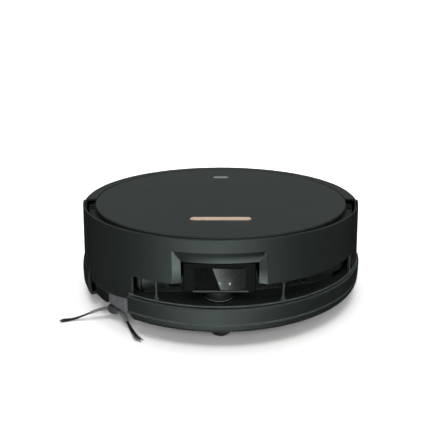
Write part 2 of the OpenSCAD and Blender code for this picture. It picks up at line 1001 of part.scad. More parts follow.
module cover_magnets() {
  color([0.6, 0.6, 0.62])
    for (place = [[-100, -60], [100, -60], [-100, 80], [100, 80]])
      post(place[0], place[1], deck_top + 0.4, body_h - 2.6, 6);
}

module status_lens() {
  color([0.55, 0.57, 0.57])
    translate([0, lens_y, 0])
      capsule(22, 12, body_h - 2.4, body_h - 0.05);
}

module start_key() {
  color([0.78, 0.66, 0.57])
    translate([0, key_y, 0])
      union() {
        capsule(key_len, key_w, 102.8, body_h + 0.2);
        capsule(key_len - 1, key_w - 1, body_h + 0.1, body_h + 0.6);
        capsule(key_len + 7, key_w + 6, 102.2, 103.1);
      }
}

// ---------------------------------------------------------------- dustbin

module dustbin_box() {
  wall = 2;
  color([0.3, 0.33, 0.34])
    difference() {
      union() {
        block([-bin_x, bin_front, bin_low], [bin_x, bin_rear, bin_top]);
        for (x = [-50, 50])
          block([x - 2, lid_pin_y - 1.9, bin_top - 1], [x + 2, bin_rear, lid_pin_z + 1.9]);
      }
      block([-bin_x + wall, bin_front + wall, bin_low + wall], [bin_x - wall, bin_rear - 8, bin_top + cut]);
      block([-bin_x + wall, bin_rear - 8.2, 58], [bin_x - wall, bin_rear - wall, 92]);
      block([-24, bin_front - cut, 54], [24, bin_front + wall + cut, 72]);
      block([-20, bin_rear - wall - cut, 62], [20, bin_rear + cut, 86]);
      rod(-bin_x, bin_x, lid_pin_y, lid_pin_z, 1.05);
    }
}

module dust_filter() {
  pleats = 18;
  color([0.9, 0.9, 0.88])
    difference() {
      block([-bin_x + 2.4, bin_rear - 7.6, 58.4], [bin_x - 2.4, bin_rear - 2.4, 91.6]);
      for (i = [0 : pleats - 1])
        translate([-51 + i * 6, bin_rear - 7.6, 61])
          linear_extrude(28)
            polygon([[-2, -1], [2, -1], [0, 3]]);
    }
}

module dustbin_lid() {
  low = bin_top + 0.2;
  color([0.36, 0.39, 0.4])
    union() {
      difference() {
        block([-bin_x, bin_front, low], [bin_x, lid_pin_y + 0.4, low + 2.2]);
        for (x = [-50, 50])
          block([x - 2.6, lid_pin_y - 2.8, low - cut], [x + 2.6, bin_rear, low + 4]);
        block([-18, 14, low + 1], [18, 34, low + 4]);
      }
      for (x = [-50, 50])
        rod(x - 3, x + 3, lid_pin_y, lid_pin_z, 1);
    }
}

base_plate();
rear_shell();
deck_frame();
sensor_bay();
sensor_housing();
sensor_window();
camera_module();
status_led();
lidar_base();
bay_windows();
edge_sensor_window();
side_brush_housing();
side_brush_cap();
side_brush_motor();
brush_tunnel();
brush_guard();
brush_motor();
caster_socket();
battery_pack();
main_board();
fan_housing();
fan_impeller();
clean_water_tank();
dirty_water_tank();
exhaust_grille();
charge_contacts();
cliff_sensors();
base_screws();
key_switch();
left_wheel_cage();
right_wheel_cage();
bumper_buffers();
bumper_shell();
top_cover();
cover_magnets();
status_lens();
start_key();
lidar_head();
caster_fork();
caster_axle();
caster_wheel();
left_wheel_arm();
left_wheel_rim();
left_tyre();
right_wheel_arm();
right_wheel_rim();
right_tyre();
side_brush_hub();
side_brush_arms();
side_brush_bristles();
main_brush_core();
main_brush_fins();
mop_carrier();
mop_scraper();
mop_roller_core();
mop_sleeve();
dustbin_box();
dust_filter();
dustbin_lid();
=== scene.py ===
import json
import math
import random

import bmesh
import bpy
from mathutils import Matrix, Vector, noise


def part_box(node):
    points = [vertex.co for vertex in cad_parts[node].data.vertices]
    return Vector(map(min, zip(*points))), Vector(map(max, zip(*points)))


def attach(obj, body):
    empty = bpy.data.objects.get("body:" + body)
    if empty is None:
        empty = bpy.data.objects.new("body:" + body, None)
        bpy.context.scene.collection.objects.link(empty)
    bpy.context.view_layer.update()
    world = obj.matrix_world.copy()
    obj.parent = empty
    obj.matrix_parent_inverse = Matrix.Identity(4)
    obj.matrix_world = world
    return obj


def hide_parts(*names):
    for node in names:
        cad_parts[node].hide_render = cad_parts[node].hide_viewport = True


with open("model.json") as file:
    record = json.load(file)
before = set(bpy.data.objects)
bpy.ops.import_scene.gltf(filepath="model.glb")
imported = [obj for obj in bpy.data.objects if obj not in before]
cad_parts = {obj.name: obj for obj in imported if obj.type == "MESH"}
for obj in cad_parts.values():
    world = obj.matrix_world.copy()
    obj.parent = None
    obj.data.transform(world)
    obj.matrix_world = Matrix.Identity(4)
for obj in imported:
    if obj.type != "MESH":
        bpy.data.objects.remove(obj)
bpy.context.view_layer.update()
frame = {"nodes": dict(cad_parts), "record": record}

MM = 0.001
nodes = frame["nodes"]


# ------------------------------------------------------------------ camera, lights and floor

def add_camera():
    data = bpy.data.cameras.new("camera")
    data.sensor_width = 36.0
    data.lens = 38.83
    data.shift_x = -0.0015
    data.shift_y = -0.0682
    data.clip_start = 0.01
    camera = bpy.data.objects.new("camera", data)
    camera.location = (0.0, -0.5697, 0.2602)
    camera.rotation_euler = (math.pi / 2 - 0.2559, 0.0, 0.0)
    bpy.context.scene.collection.objects.link(camera)
    bpy.context.scene.camera = camera


def add_area_light(name, place, target, size, power, mirrored=False):
    data = bpy.data.lights.new(name, "AREA")
    data.shape = "RECTANGLE"
    data.size, data.size_y = size
    data.energy = power
    light = bpy.data.objects.new(name, data)
    light.visible_glossy = mirrored
    light.location = place
    aim = Vector(target) - Vector(place)
    light.rotation_euler = aim.to_track_quat("-Z", "Y").to_euler()
    bpy.context.scene.collection.objects.link(light)


class WorldGlow:
    """Studio surroundings built up from soft lobes of light by direction."""

    def __init__(self):
        self.world = bpy.data.worlds.new("studio")
        self.world.use_nodes = True
        self.tree = self.world.node_tree
        place = self.tree.nodes.new("ShaderNodeTexCoord").outputs["Generated"]
        parts = self.tree.nodes.new("ShaderNodeSeparateXYZ")
        self.tree.links.new(place, parts.inputs["Vector"])
        self.x, self.y, self.z = (parts.outputs[name] for name in "XYZ")
        self.bearing = self.work("ARCTAN2", self.x, self.work("MULTIPLY", self.y, -1.0))
        self.total = None

    def work(self, operation, first, second=0.0):
        node = self.tree.nodes.new("ShaderNodeMath")
        node.operation = operation
        for socket, value in zip(node.inputs, (first, second)):
            if isinstance(value, bpy.types.NodeSocket):
                self.tree.links.new(value, socket)
            else:
                socket.default_value = value
        return node.outputs["Value"]

    def bell(self, value, centre, width):
        off = self.work("DIVIDE", self.work("SUBTRACT", value, centre), width)
        return self.work("EXPONENT", self.work("MULTIPLY", self.work("MULTIPLY", off, off), -0.5))

    def ramp(self, value, start, end):
        node = self.tree.nodes.new("ShaderNodeMapRange")
        node.interpolation_type = "SMOOTHSTEP"
        self.tree.links.new(value, node.inputs["Value"])
        node.inputs["From Min"].default_value = start
        node.inputs["From Max"].default_value = end
        return node.outputs["Result"]

    def add(self, value, strength):
        value = self.work("MULTIPLY", value, strength)
        self.total = value if self.total is None else self.work("ADD", self.total, value)

    def lobe(self, bearing, height, width, tall, strength):
        """Glow centred on a bearing from the front (radians) and a height (sine)."""
        across = self.bell(self.bearing, bearing, width)
        upright = self.bell(self.z, height, tall)
        self.add(self.work("MULTIPLY", across, upright), strength)

    def finish(self, base):
        shade = self.tree.nodes["Background"]
        shade.inputs["Color"].default_value = (1.0, 1.0, 1.0, 1.0)
        self.tree.links.new(self.work("ADD", self.total, base), shade.inputs["Strength"])
        bpy.context.scene.world = self.world


def add_world():
    glow = WorldGlow()
    glow.lobe(-0.1, -0.3, 0.46, 0.34, 2.2)
    glow.lobe(0.2, 0.36, 0.26, 0.12, 3.0)
    glow.add(glow.ramp(glow.z, 0.05, 0.5), 0.3)
    glow.finish(0.015)


def add_floor():
    """Round floor that curves up into a low wall all the way round."""
    flat, bend, top = 2.6, 0.6, 1.6
    profile = [(0.0, 0.0), (0.5, 0.0), (flat, 0.0)]
    for step in range(1, 13):
        turn = math.pi / 2 * step / 12
        profile.append((flat + bend * math.sin(turn), bend * (1 - math.cos(turn))))
    profile.append((flat + bend, top))
    mesh = bpy.data.meshes.new("floor")
    sides = 96
    points, faces = [], []
    for radius, height in profile:
        for i in range(sides):
            turn = 2 * math.pi * i / sides
            points.append((radius * math.cos(turn), radius * math.sin(turn), height))
    for ring in range(len(profile) - 1):
        for i in range(sides):
            k = (i + 1) % sides
            low, high = ring * sides, (ring + 1) * sides
            if ring == 0:
                faces.append((low, high + i, high + k))
            else:
                faces.append((low + i, high + i, high + k, low + k))
    mesh.from_pydata(points, [], faces)
    mesh.polygons.foreach_set("use_smooth", [True] * len(mesh.polygons))
    floor = bpy.data.objects.new("floor", mesh)
    bpy.context.scene.collection.objects.link(floor)
    paper = Shade("floor_paper")
    paper.set("Base Color", (0.9, 0.9, 0.895, 1.0))
    paper.set("Specular IOR Level", 0.2)
    paper.link("Roughness", paper.between(paper.noise(6.0), 0.62, 0.74))
    floor.data.materials.append(paper.material)
    floor.visible_glossy = False
    floor.visible_shadow = False


# ------------------------------------------------------------------ materials

class Shade:
    """One procedural material, with short calls for its nodes."""

    def __init__(self, name):
        self.material = bpy.data.materials.new(name)
        self.material.use_nodes = True
        self.tree = self.material.node_tree
        self.shader = self.tree.nodes["Principled BSDF"]
        self.place = self.tree.nodes.new("ShaderNodeTexCoord").outputs["Object"]

    def set(self, socket, value):
        self.shader.inputs[socket].default_value = value

    def link(self, socket, output):
        self.tree.links.new(output, self.shader.inputs[socket])

    def feed(self, node, socket, value):
        if isinstance(value, bpy.types.NodeSocket):
            self.tree.links.new(value, node.inputs[socket])
        else:
            node.inputs[socket].default_value = value

    def stretched(self, scale):
        node = self.tree.nodes.new("ShaderNodeMapping")
        self.tree.links.new(self.place, node.inputs["Vector"])
        node.inputs["Scale"].default_value = scale
        return node.outputs["Vector"]

    def noise(self, scale, detail=2.0, stretch=None, distortion=0.0):
        node = self.tree.nodes.new("ShaderNodeTexNoise")
        self.feed(node, "Vector", self.stretched(stretch) if stretch else self.place)
        node.inputs["Scale"].default_value = scale
        node.inputs["Detail"].default_value = detail
        node.inputs["Distortion"].default_value = distortion
        return node.outputs["Fac"]

    def cells(self, scale, feature="F1", stretch=None):
        node = self.tree.nodes.new("ShaderNodeTexVoronoi")
        node.feature = feature
        self.feed(node, "Vector", self.stretched(stretch) if stretch else self.place)
        node.inputs["Scale"].default_value = scale
        return node.outputs["Distance"]

    def axis(self, name):
        node = self.tree.nodes.new("ShaderNodeSeparateXYZ")
        self.tree.links.new(self.place, node.inputs["Vector"])
        return node.outputs[name]

    def between(self, value, low, high, start=0.0, end=1.0):
        node = self.tree.nodes.new("ShaderNodeMapRange")
        self.feed(node, "Value", value)
        node.inputs["From Min"].default_value = start
        node.inputs["From Max"].default_value = end
        node.inputs["To Min"].default_value = low
        node.inputs["To Max"].default_value = high
        return node.outputs["Result"]

    def sum(self, operation, first, second):
        node = self.tree.nodes.new("ShaderNodeMath")
        node.operation = operation
        self.feed(node, 0, first)
        self.feed(node, 1, second)
        return node.outputs["Value"]

    def mix(self, share, first, second):
        node = self.tree.nodes.new("ShaderNodeMix")
        node.data_type = "RGBA"
        self.feed(node, 0, share)
        self.feed(node, 6, first)
        self.feed(node, 7, second)
        return node.outputs[2]

    def rounded_edges(self, radius):
        node = self.tree.nodes.new("ShaderNodeBevel")
        node.samples = 4
        node.inputs["Radius"].default_value = radius
        return node.outputs["Normal"]

    def edge_share(self, rounded):
        """About 1 on sharp edges and 0 elsewhere."""
        true_normal = self.tree.nodes.new("ShaderNodeNewGeometry").outputs["Normal"]
        node = self.tree.nodes.new("ShaderNodeVectorMath")
        node.operation = "DOT_PRODUCT"
        self.tree.links.new(true_normal, node.inputs[0])
        self.tree.links.new(rounded, node.inputs[1])
        return self.between(node.outputs["Value"], 1.0, 0.0, 0.8, 0.995)

    def inside(self, value, low, high):
        """1 between two positions in mm and 0 outside them."""
        over = self.sum("GREATER_THAN", value, low * MM)
        return self.sum("MULTIPLY", over, self.sum("LESS_THAN", value, high * MM))

    def upward(self):
        """How far the surface leans back from upright, from 0 to 1."""
        normal = self.tree.nodes.new("ShaderNodeNewGeometry").outputs["True Normal"]
        parts = self.tree.nodes.new("ShaderNodeSeparateXYZ")
        self.tree.links.new(normal, parts.inputs["Vector"])
        return parts.outputs["Z"]

    def edge_glint_share(self, rounded, scale, least):
        """Share of the painted edge highlight: edge share broken up unevenly by noise, from least to 1."""
        glint_breakup = self.between(self.noise(scale, 3.0), least, 1.0, 0.35, 0.65)
        return self.sum("MULTIPLY", self.edge_share(rounded), glint_breakup)

    def bump(self, height, strength, distance, normal=None):
        node = self.tree.nodes.new("ShaderNodeBump")
        self.feed(node, "Height", height)
        node.inputs["Strength"].default_value = strength
        node.inputs["Distance"].default_value = distance
        if normal is not None:
            self.tree.links.new(normal, node.inputs["Normal"])
        return node.outputs["Normal"]


def tone(colour, factor):
    return tuple(min(1.0, c * factor) for c in colour) + (1.0,)


def moulded(name, colour, rough, grain=0.25, grain_scale=1500.0, specular=0.3, edge=1.35, vary=0.1,
            edge_radius=0.35, uneven=0.05, gloss_tint=(1.0, 1.0, 1.0, 1.0)):
    """Injection-moulded plastic: fine eroded grain, uneven gloss and a painted highlight along the edges."""
    shade = Shade(name)
    broad = shade.noise(14.0, 3.0)
    rounded = shade.rounded_edges(edge_radius * MM)
    body = shade.mix(shade.between(broad, 0.0, 1.0, 0.3, 0.7), tone(colour, 1 - vary), tone(colour, 1 + vary))
    # Painted highlight along the edges: the colour times edge there, broken up by noise.
    edge_glint = shade.edge_glint_share(rounded, 90.0, 0.3)
    shade.link("Base Color", shade.mix(edge_glint, body, tone(colour, edge)))
    fine = shade.noise(grain_scale, 2.0)
    smear = shade.between(shade.noise(35.0, 4.0), rough - uneven, rough + uneven, 0.3, 0.7)
    shade.link("Roughness", shade.sum("ADD", smear, shade.between(fine, -0.03, 0.03)))
    shade.set("Specular IOR Level", specular)
    shade.set("Specular Tint", gloss_tint)
    shade.link("Normal", shade.bump(fine, grain, 0.06 * MM, rounded))
    return shade.material


def bumper_paint(name, colour):
    """Satin graphite with painted highlight and shade in soft strips on the notch bevels and sill, and
    painted highlights on its arrises.
    """
    shade = Shade(name)
    x, z = shade.axis("X"), shade.axis("Z")
    rounded = shade.rounded_edges(0.9 * MM)
    # Painted highlight along the edges: four times the colour above about 61 mm and twenty times below.
    lower = shade.between(z, 1.0, 0.0, 60.5 * MM, 61.5 * MM)
    line = shade.edge_glint_share(rounded, 60.0, 0.7)
    broad = shade.between(shade.noise(14.0, 3.0), 0.0, 1.0, 0.3, 0.7)
    body = shade.mix(broad, tone(colour, 0.95), tone(colour, 1.05))
    lit = shade.mix(lower, tone(colour, 4.0), tone(colour, 20.0))
    shade.link("Base Color", shade.mix(line, bevel_light(shade, x, z, body, colour), lit))
    fine = shade.noise(1500.0, 2.0)
    smear = shade.between(shade.noise(35.0, 4.0), 0.3, 0.38, 0.3, 0.7)
    shade.link("Roughness", shade.sum("ADD", smear, shade.between(fine, -0.03, 0.03)))
    shade.set("Specular IOR Level", 0.5)
    shade.set("Specular Tint", COOL_GLOSS)
    shade.link("Normal", shade.bump(fine, 0.25, 0.06 * MM, rounded))
    return shade.material


def lipped_housing(name, colour):
    """Dark sensor box with a painted highlight on the lip under the window and painted highlights on its
    edges.
    """
    shade = Shade(name)
    z = shade.axis("Z")
    # Painted highlight on the lip under the window, fifteen times the colour.
    lip = shade.sum("MULTIPLY", shade.inside(z, 51.1, 52.4), shade.inside(shade.axis("X"), -26.7, 26.7))
    lip = shade.sum("MULTIPLY", lip, shade.between(shade.axis("Y"), 1.0, 0.0, -155.2 * MM, -154.2 * MM))
    rounded = shade.rounded_edges(0.45 * MM)
    # Painted highlight along the edges, six times the colour.
    edge_glint = shade.edge_glint_share(rounded, 90.0, 0.4)
    body = shade.mix(edge_glint, tone(colour, 1.0), tone(colour, 6.0))
    shade.link("Base Color", shade.mix(lip, body, tone(colour, 15.0)))
    fine = shade.noise(1500.0, 2.0)
    shade.link("Roughness", shade.between(fine, 0.46, 0.56))
    shade.set("Specular IOR Level", 0.06)
    shade.link("Normal", shade.bump(fine, 0.25, 0.06 * MM, rounded))
    return shade.material


# Camera notch in the bumper, in mm: edges of its side bevels, foot of the bevels and rise of their mitres
NOTCH_LEFT = (-45.6, -37.3)
NOTCH_RIGHT = (36.2, 43.9)
NOTCH_FOOT = 60.2
MITRE_RISE = 1.42
MITRE_START = 29.4
SILL_FOOT = 78.0


def bevel_light(shade, x, z, body, colour):
    """Painted highlight and shade on the three bevels round the camera notch, over the body colour."""
    above = shade.between(z, 0.0, 1.0, NOTCH_FOOT * MM, (NOTCH_FOOT + 0.4) * MM)
    slope = shade.sum("ADD", z, shade.sum("MULTIPLY", shade.sum("ABSOLUTE", x, 0.0), -MITRE_RISE))
    beside = shade.between(slope, 1.0, 0.0, MITRE_START * MM, (MITRE_START + 1.0) * MM)
    sides = shade.sum("MULTIPLY", above, beside)
    # Painted highlight and shade on the side bevels: the left bevel brightens upwards and the right bevel
    # darkens upwards.
    rise = shade.between(z, 0.0, 1.0, 62.0 * MM, 76.0 * MM)
    left_shading = shade.mix(rise, tone(colour, 1.2), tone(colour, 8.5))
    right_shading = shade.mix(rise, tone(colour, 8.5), tone(colour, 0.25))
    paint = shade.mix(shade.sum("MULTIPLY", shade.inside(x, *NOTCH_LEFT), sides), body, left_shading)
    paint = shade.mix(shade.sum("MULTIPLY", shade.inside(x, *NOTCH_RIGHT), sides), paint, right_shading)
    # Painted shade over the overhanging sill between the bevels, with a painted highlight that grows towards
    # its lower middle and right.
    lean = shade.upward()
    tipped = shade.sum("LESS_THAN", lean, -0.12)
    overhung = shade.sum("MULTIPLY", tipped, shade.sum("GREATER_THAN", lean, -0.7))
    between_bevels = shade.sum("MULTIPLY", overhung, shade.inside(x, -45.0, 44.0))
    high = shade.between(z, 0.0, 1.0, SILL_FOOT * MM, (SILL_FOOT + 1.0) * MM)
    along = shade.between(x, 0.0, 1.0, -36.0 * MM, 2.0 * MM)
    down = shade.between(z, 1.0, 0.0, 82.0 * MM, 91.0 * MM)
    lit = shade.mix(shade.sum("MULTIPLY", along, down), tone(colour, 0.2), tone(colour, 9.0))
    return shade.mix(shade.sum("MULTIPLY", between_bevels, high), paint, lit)


def rubber(name, colour, rough=0.75, specular=0.25):
    shade = Shade(name)
    patch = shade.noise(40.0, 4.0)
    shade.link("Base Color", shade.mix(patch, tone(colour, 0.75), tone(colour, 1.3)))
    shade.link("Roughness", shade.between(shade.noise(220.0, 3.0), rough - 0.1, rough + 0.1, 0.3, 0.7))
    shade.set("Specular IOR Level", specular)
    fine = shade.sum("ADD", shade.noise(900.0, 3.0), shade.sum("MULTIPLY", patch, 0.4))
    shade.link("Normal", shade.bump(fine, 0.35, 0.15 * MM, shade.rounded_edges(0.3 * MM)))
    return shade.material


def metal(name, colour, rough, stretch=(1.0, 1.0, 1.0), specular=0.5):
    shade = Shade(name)
    brushed = shade.noise(700.0, 3.0, stretch)
    shade.link("Base Color", shade.mix(shade.noise(60.0, 3.0), tone(colour, 0.85), tone(colour, 1.1)))
    shade.set("Metallic", 1.0)
    shade.set("Specular IOR Level", specular)
    shade.link("Roughness", shade.between(brushed, rough - 0.08, rough + 0.12, 0.3, 0.7))
    shade.link("Normal", shade.bump(brushed, 0.12, 0.05 * MM, shade.rounded_edges(0.2 * MM)))
    return shade.material


def painted_metal(name, colour):
    """Satin metallic paint with a faint flake."""
    shade = Shade(name)
    flake = shade.cells(2600.0)
    shade.link("Base Color", shade.mix(flake, tone(colour, 1.1), tone(colour, 0.82)))
    shade.set("Metallic", 0.35)
    shade.link("Roughness", shade.between(shade.noise(300.0, 3.0), 0.28, 0.4, 0.3, 0.7))
    shade.set("Coat Weight", 0.2)
    shade.set("Coat Roughness", 0.15)
    shade.link("Normal", shade.bump(flake, 0.08, 0.03 * MM, shade.rounded_edges(0.25 * MM)))
    return shade.material


def glossy(name, colour, rough=0.1, specular=0.5, emission=None, glow=1.6):
    shade = Shade(name)
    dust = shade.noise(500.0, 4.0)
    specks = shade.between(dust, 0.0, 1.0, 0.6, 0.8)
    shade.link("Base Color", shade.mix(specks, tone(colour, 1.0), tone(colour, 1.5)))
    shade.link("Roughness", shade.between(shade.noise(120.0, 4.0), rough * 0.6, rough * 1.8, 0.3, 0.7))
    shade.set("Specular IOR Level", specular)
    if emission:
        shade.set("Emission Color", emission + (1.0,))
        shade.set("Emission Strength", glow)
    shade.link("Normal", shade.bump(shade.noise(80.0, 2.0), 0.03, 0.05 * MM, shade.rounded_edges(0.2 * MM)))
    return shade.material


def light_pipe(name, face, colour, glow):
    """Green light pipe that shines only at its front face."""
    shade = Shade(name)
    dust = shade.noise(700.0, 3.0)
    shade.link("Base Color", shade.mix(dust, tone(colour, 0.25), tone(colour, 0.4)))
    shade.link("Roughness", shade.between(dust, 0.25, 0.4))
    shade.set("Emission Color", colour + (1.0,))
    end = shade.between(shade.axis("Y"), glow, 0.0, face + 0.15 * MM, face + 0.3 * MM)
    shade.link("Emission Strength", shade.sum("MULTIPLY", end, shade.between(dust, 0.85, 1.0)))
    shade.link("Normal", shade.bump(dust, 0.05, 0.04 * MM, shade.rounded_edges(0.2 * MM)))
    return shade.material


def window_glass(name):
    """Smoked front panel, split on a slant into a clear dark half and a half with a painted reflection,
    palest at the split and fading away from it.
    """
    shade = Shade(name)
    split = 18.22
    slant = shade.sum("ADD", shade.axis("X"), shade.sum("MULTIPLY", shade.axis("Z"), 0.345))
    reflection_half = shade.between(slant, 0.0, 1.0, (split - 0.25) * MM, (split + 0.25) * MM)
    # Painted reflection on that half: pale grey at the split, fading to dark away from it.
    reflection_fade = shade.sum("POWER", shade.between(slant, 1.0, 0.0, 18.3 * MM, 45.5 * MM), 2.6)
    painted_reflection = shade.mix(reflection_fade, (0.0055, 0.0065, 0.0062, 1.0), (0.11, 0.122, 0.122, 1.0))
    cloud = shade.mix(shade.between(shade.noise(120.0, 3.0), 0.0, 0.1), painted_reflection, (0.1, 0.1, 0.1, 1.0))
    shade.link("Base Color", shade.mix(reflection_half, (0.0022, 0.0028, 0.0027, 1.0), cloud))
    haze = shade.between(shade.noise(300.0, 3.0), 0.0, 0.05)
    shade.link("Roughness", shade.sum("ADD", shade.between(reflection_half, 0.2, 0.38), haze))
    shade.set("Specular IOR Level", 0.025)
    shade.set("Alpha", 0.8)
    shade.link("Normal", shade.bump(shade.noise(70.0, 2.0), 0.03, 0.04 * MM, shade.rounded_edges(0.25 * MM)))
    return shade.material


def scanner_ring(name, colour, rim):
    """Moulded ring whose raised rim carries a painted highlight, paler at the front than the floor inside it
    and fading towards the back.
    """
    shade = Shade(name)
    low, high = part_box("lidar_head")
    x = shade.sum("SUBTRACT", shade.axis("X"), (low.x + high.x) / 2)
    y = shade.sum("SUBTRACT", shade.axis("Y"), (low.y + high.y) / 2)
    squares = shade.sum("ADD", shade.sum("MULTIPLY", x, x), shade.sum("MULTIPLY", y, y))
    radius = shade.sum("SQRT", squares, 0.0)
    # Painted highlight on the front of the raised rim, in the rim colour.
    front = shade.between(y, 1.0, 0.0, -12.5 * MM, -3.0 * MM)
    outer = shade.sum("MULTIPLY", shade.inside(radius, 13.8, 14.52), front)
    shade.link("Base Color", shade.mix(outer, tone(colour, 1.0), tone(rim, 1.0)))
    fine = shade.noise(1400.0, 2.0)
    shade.link("Roughness", shade.between(fine, 0.38, 0.5))
    shade.set("Specular IOR Level", 0.15)
    shade.link("Normal", shade.bump(fine, 0.25, 0.05 * MM, shade.rounded_edges(0.3 * MM)))
    return shade.material


def fabric(name, colour):
    """Short looped microfibre pile."""
    shade = Shade(name)
    loops = shade.cells(900.0, "F1")
    twist = shade.noise(1600.0, 3.0, (1.0, 2.2, 2.2))
    # Painted shade down between the pile loops, to 0.45 of the colour.
    pile_shade = shade.sum("MULTIPLY", loops, twist)
    shade.link("Base Color", shade.mix(pile_shade, tone(colour, 1.25), tone(colour, 0.45)))
    shade.link("Roughness", shade.between(twist, 0.82, 0.96))
    shade.set("Sheen Weight", 0.5)
    shade.set("Sheen Roughness", 0.4)
    shade.set("Specular IOR Level", 0.1)
    height = shade.sum("ADD", shade.sum("MULTIPLY", loops, -1.0), shade.sum("MULTIPLY", twist, 0.4))
    shade.link("Normal", shade.bump(height, 0.7, 0.5 * MM))
    return shade.material


def clear_plastic(name, colour, rough, share):
    shade = Shade(name)
    shade.link("Base Color", shade.mix(shade.noise(20.0, 3.0), tone(colour, 0.92), tone(colour, 1.05)))
    shade.link("Roughness", shade.between(shade.noise(60.0, 3.0), rough, rough + 0.1, 0.3, 0.7))
    shade.set("Transmission Weight", share)
    shade.set("IOR", 1.46)
    shade.link("Normal", shade.bump(shade.noise(400.0, 2.0), 0.05, 0.05 * MM, shade.rounded_edges(0.4 * MM)))
    return shade.material


def paper(name, colour):
    shade = Shade(name)
    fibre = shade.noise(1200.0, 4.0, (1.0, 1.0, 0.25))
    shade.link("Base Color", shade.mix(fibre, tone(colour, 0.85), tone(colour, 1.05)))
    shade.link("Roughness", shade.between(fibre, 0.85, 0.98))
    shade.set("Specular IOR Level", 0.1)
    shade.link("Normal", shade.bump(fibre, 0.3, 0.1 * MM))
    return shade.material


def circuit(name, colour):
    shade = Shade(name)
    lanes = shade.cells(260.0, "DISTANCE_TO_EDGE", (1.0, 1.0, 0.05))
    line = shade.between(lanes, 1.0, 0.0, 0.02, 0.06)
    shade.link("Base Color", shade.mix(line, tone(colour, 1.0), tone(colour, 1.8)))
    shade.link("Roughness", shade.between(shade.noise(400.0, 3.0), 0.3, 0.5))
    shade.link("Normal", shade.bump(line, 0.3, 0.05 * MM, shade.rounded_edges(0.2 * MM)))
    return shade.material


def stippled(name, colour):
    """Black plastic with a fine stippled surface."""
    shade = Shade(name)
    stipple = shade.cells(420.0, "DISTANCE_TO_EDGE")
    seam = shade.between(stipple, 1.0, 0.0, 0.0, 0.12)
    shade.link("Base Color", shade.mix(seam, tone(colour, 0.8), tone(colour, 2.2)))
    shade.link("Roughness", shade.between(shade.noise(200.0, 3.0), 0.4, 0.6))
    shade.link("Normal", shade.bump(stipple, 0.5, 0.2 * MM, shade.rounded_edges(0.3 * MM)))
    return shade.material


COOL_GLOSS = (0.83, 1.0, 0.945, 1.0)
GRAPHITE = (0.0082, 0.0102, 0.0096)
COVER = (0.0148, 0.0184, 0.0173)

looks = {
    "graphite_plastic": moulded("graphite", GRAPHITE, 0.34, specular=0.5, edge=9.0, vary=0.05,
                                edge_radius=0.8, gloss_tint=COOL_GLOSS),
    "black_plastic": moulded("black_plastic", (0.0065, 0.0072, 0.0072), 0.5, specular=0.22, edge=2.0),
    "gloss_black": glossy("gloss_black", (0.005, 0.0055, 0.006), 0.12),
    "smoked_glass": window_glass("window_glass"),
    "rose_gold": painted_metal("rose_gold", (0.55, 0.40, 0.31)),
    "light_grey_plastic": moulded("light_grey", (0.088, 0.094, 0.096), 0.45, specular=0.35, edge=1.5,
                                  vary=0.05),
    "grey_plastic": moulded("grey_plastic", (0.13, 0.135, 0.14), 0.45, specular=0.35, edge=1.25),
    "tyre_rubber": rubber("tyre_rubber", (0.011, 0.011, 0.012), 0.8),
    "soft_rubber": rubber("soft_rubber", (0.13, 0.136, 0.14), 0.6),
    "bristle": rubber("bristle", (0.012, 0.012, 0.013), 0.5, 0.4),
    "mop_fabric": fabric("mop_fabric", (0.16, 0.18, 0.21)),
    "steel": metal("steel", (0.55, 0.55, 0.56), 0.3),
    "contact_metal": metal("contact_metal", (0.72, 0.6, 0.4), 0.28, (1.0, 12.0, 1.0)),
    "cell_wrap": glossy("cell_wrap", (0.008, 0.009, 0.012), 0.35, 0.25),
    "board": circuit("board", (0.01, 0.07, 0.03)),
    "clear_tank": clear_plastic("clear_tank", (0.75, 0.82, 0.85), 0.12, 0.7),
    "filter_paper": paper("filter_paper", (0.75, 0.74, 0.7)),
    "lens_glass": glossy("lens_glass", (0.01, 0.008, 0.02), 0.06, 0.8),
    "led_green": glossy("led_green", (0.5, 0.9, 0.7), 0.2, 0.5, (0.62, 1.0, 0.8), 8.0),
    "bin_plastic": clear_plastic("bin_plastic", (0.2, 0.22, 0.23), 0.15, 0.45),
}
catchlight = glossy("catchlight", (0.6, 0.65, 0.7), 0.2, 0.5, (0.88, 0.97, 1.0), 10.0)
own_looks = {
    "bumper_shell": bumper_paint("bumper_graphite", GRAPHITE),
    "status_led": light_pipe("led_pipe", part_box("status_led")[0].y, (0.62, 1.0, 0.8), 9.0),
    "side_brush_hub": moulded("hub_grey", (0.03, 0.032, 0.033), 0.5, specular=0.3, edge=1.6),
    "top_cover": moulded("cover_graphite", COVER, 0.46, specular=0.3, edge=2.6, vary=0.02,
                         edge_radius=0.6, uneven=0.012, gloss_tint=COOL_GLOSS),
    "base_plate": stippled("base_black", (0.0026, 0.0029, 0.0029)),
    "sensor_housing": lipped_housing("housing_black", (0.0040, 0.0050, 0.0047)),
    "lidar_head": moulded("scanner_grey", (0.0105, 0.0125, 0.012), 0.45, specular=0.25, edge=2.0),
    # The last colour is the painted highlight on the ring's rim.
    "lidar_base": scanner_ring("scanner_ring", (0.008, 0.0095, 0.009), (0.26, 0.28, 0.275)),
}


def paint_nodes():
    for part in frame["record"]["subparts"]:
        name = part["node"]
        look = own_looks.get(name, looks[part["material_slot"]])
        for slot in nodes[name].material_slots:
            slot.material = look


# ------------------------------------------------------------------ mesh helpers

def finish_piece(name, bm, body, slot, replaced=(), look=None):
    mesh = bpy.data.meshes.new(name)
    bmesh.ops.recalc_face_normals(bm, faces=bm.faces)
    bm.to_mesh(mesh)
    bm.free()
    mesh.polygons.foreach_set("use_smooth", [True] * len(mesh.polygons))
    mesh.materials.append(look or looks[slot])
    piece = bpy.data.objects.new(name, mesh)
    bpy.context.scene.collection.objects.link(piece)
    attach(piece, body)
    if replaced:
        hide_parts(*replaced)
    return piece


